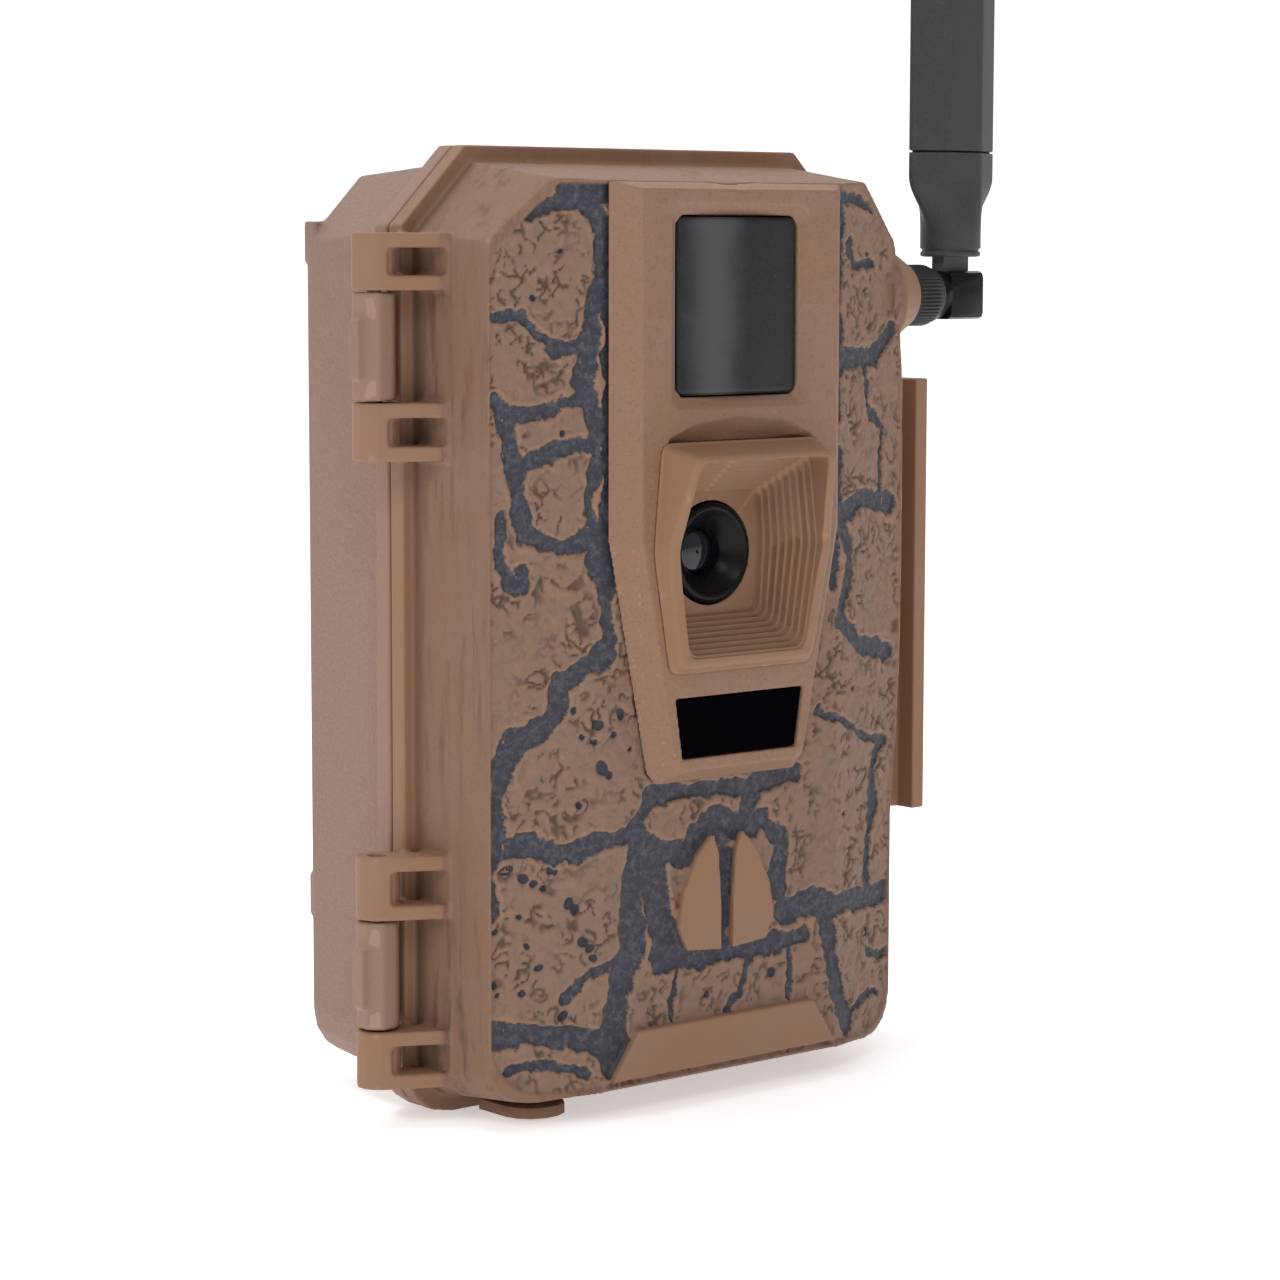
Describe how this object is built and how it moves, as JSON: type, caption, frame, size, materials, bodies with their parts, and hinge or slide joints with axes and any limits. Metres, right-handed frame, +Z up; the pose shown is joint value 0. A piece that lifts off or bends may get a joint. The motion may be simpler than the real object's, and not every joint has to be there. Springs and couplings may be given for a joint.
{
  "type": "trail camera",
  "caption": "Hinged weatherproof wildlife camera with a hooded lens, infrared lamp window, motion sensor, side latch and folding antenna.",
  "frame": {"origin": "on the standing surface, in the middle of the rear case's bottom rim, in the lens's centre plane", "axes": "+Z up, -Y is the way the lens looks, +X is towards the antenna and latch"},
  "size_m": [0.1299, 0.0673, 0.297],
  "materials": {
    "case_plastic": "moulded tan plastic with a grained skin",
    "camo_plastic": "moulded tan plastic with dark cracked-mud relief",
    "panel_plastic": "smooth moulded tan plastic",
    "black_plastic": "satin black plastic",
    "antenna_plastic": "satin charcoal plastic",
    "dark_window": "dark infrared filter",
    "lens_glass": "coated glass",
    "filter_glass": "filter glass",
    "circuit_board": "green solder mask",
    "steel": "bright steel",
    "brass": "machined brass",
    "rubber": "black rubber",
    "tan_rubber": "tan rubber",
    "grey_plastic": "grey keys",
    "cell_jacket": "plain printed jacket with bare metal ends",
    "card_plastic": "plain card shell"
  },
  "bodies": {
    "rear": {"rear_case": "case_plastic", "rim_gasket": "rubber", "battery_tray": "black_plastic", "battery_cell_1": "cell_jacket", "battery_cell_2": "cell_jacket", "battery_cell_3": "cell_jacket", "battery_cell_4": "cell_jacket", "battery_cell_5": "cell_jacket", "battery_cell_6": "cell_jacket", "battery_cell_7": "cell_jacket", "battery_cell_8": "cell_jacket", "contact_bottom_left": "steel", "contact_bottom_right": "steel", "contact_top_middle": "steel", "terminal_positive": "steel", "terminal_negative": "steel", "hinge_pin_upper": "steel", "hinge_pin_lower": "steel", "latch_pin": "steel", "tripod_insert": "brass"},
    "latch": {"latch_lever": "panel_plastic"},
    "front": {"front_housing": "camo_plastic", "face_panel": "panel_plastic", "lens_hood": "panel_plastic", "ir_window": "dark_window", "sensor_window": "dark_window", "ir_led_board": "circuit_board", "lens_barrel": "black_plastic", "lens_glass": "lens_glass", "lens_holder": "black_plastic", "sensor_board": "circuit_board", "main_board": "circuit_board", "motion_sensor": "steel", "modem_module": "steel", "antenna_socket": "brass", "antenna_cable": "black_plastic", "power_socket": "black_plastic", "inner_panel": "black_plastic", "panel_screw_1": "steel", "panel_screw_2": "steel", "panel_screw_3": "steel", "panel_screw_4": "steel", "display": "dark_window", "card_socket": "steel", "power_contact_left": "brass", "power_contact_right": "brass"},
    "filter": {"filter_shuttle": "filter_glass"},
    "card": {"memory_card": "card_plastic"},
    "switch": {"power_switch": "grey_plastic"},
    "key_up": {"key_up": "grey_plastic"},
    "key_down": {"key_down": "grey_plastic"},
    "key_left": {"key_left": "grey_plastic"},
    "key_right": {"key_right": "grey_plastic"},
    "key_ok": {"key_ok": "grey_plastic"},
    "socket_cover": {"power_socket_cover": "tan_rubber"},
    "nut": {"antenna_nut": "black_plastic"},
    "elbow": {"antenna_elbow": "black_plastic", "antenna_pin": "steel"},
    "antenna": {"antenna_base": "antenna_plastic", "antenna_sleeve": "antenna_plastic"}
  },
  "joints": [
    {"name": "front_hinge", "type": "hinge", "parent": "rear", "child": "front", "pos_m": [-0.0524, -0.0046, 0.07], "axis": [0, 0, -1], "range_deg": [0, 135]},
    {"name": "latch_swing", "type": "hinge", "parent": "rear", "child": "latch", "pos_m": [0.0508, 0.011, 0.077], "axis": [0, 0, 1], "range_deg": [0, 100]},
    {"name": "antenna_nut_spin", "type": "hinge", "parent": "front", "child": "nut", "pos_m": [0.054, -0.014, 0.129], "axis": [1, 0, 0], "continuous": true},
    {"name": "antenna_swivel", "type": "hinge", "parent": "front", "child": "elbow", "pos_m": [0.0634, -0.014, 0.129], "axis": [1, 0, 0], "range_deg": [-90, 90]},
    {"name": "antenna_fold", "type": "hinge", "parent": "elbow", "child": "antenna", "pos_m": [0.0634, -0.014, 0.129], "axis": [0, 1, 0], "range_deg": [0, 90]},
    {"name": "socket_cover_swing", "type": "hinge", "parent": "front", "child": "socket_cover", "pos_m": [-0.0299, -0.0082, 0.0013], "axis": [1, 0, 0], "range_deg": [0, 100]},
    {"name": "power_switch_slide", "type": "slide", "parent": "front", "child": "switch", "axis": [1, 0, 0], "range_m": [-0.0035, 0.0035]},
    {"name": "memory_card_slide", "type": "slide", "parent": "front", "child": "card", "axis": [0, 0, -1], "range_m": [0, 0.011]},
    {"name": "filter_shift", "type": "slide", "parent": "front", "child": "filter", "axis": [1, 0, 0], "range_m": [0, 0.004]},
    {"name": "key_up_press", "type": "slide", "parent": "front", "child": "key_up", "axis": [0, -1, 0], "range_m": [0, 0.0004], "stiffness_N_per_m": 600},
    {"name": "key_down_press", "type": "slide", "parent": "front", "child": "key_down", "axis": [0, -1, 0], "range_m": [0, 0.0004], "stiffness_N_per_m": 600},
    {"name": "key_left_press", "type": "slide", "parent": "front", "child": "key_left", "axis": [0, -1, 0], "range_m": [0, 0.0004], "stiffness_N_per_m": 600},
    {"name": "key_right_press", "type": "slide", "parent": "front", "child": "key_right", "axis": [0, -1, 0], "range_m": [0, 0.0004], "stiffness_N_per_m": 600},
    {"name": "key_ok_press", "type": "slide", "parent": "front", "child": "key_ok", "axis": [0, -1, 0], "range_m": [0, 0.0004], "stiffness_N_per_m": 600}
  ]
}
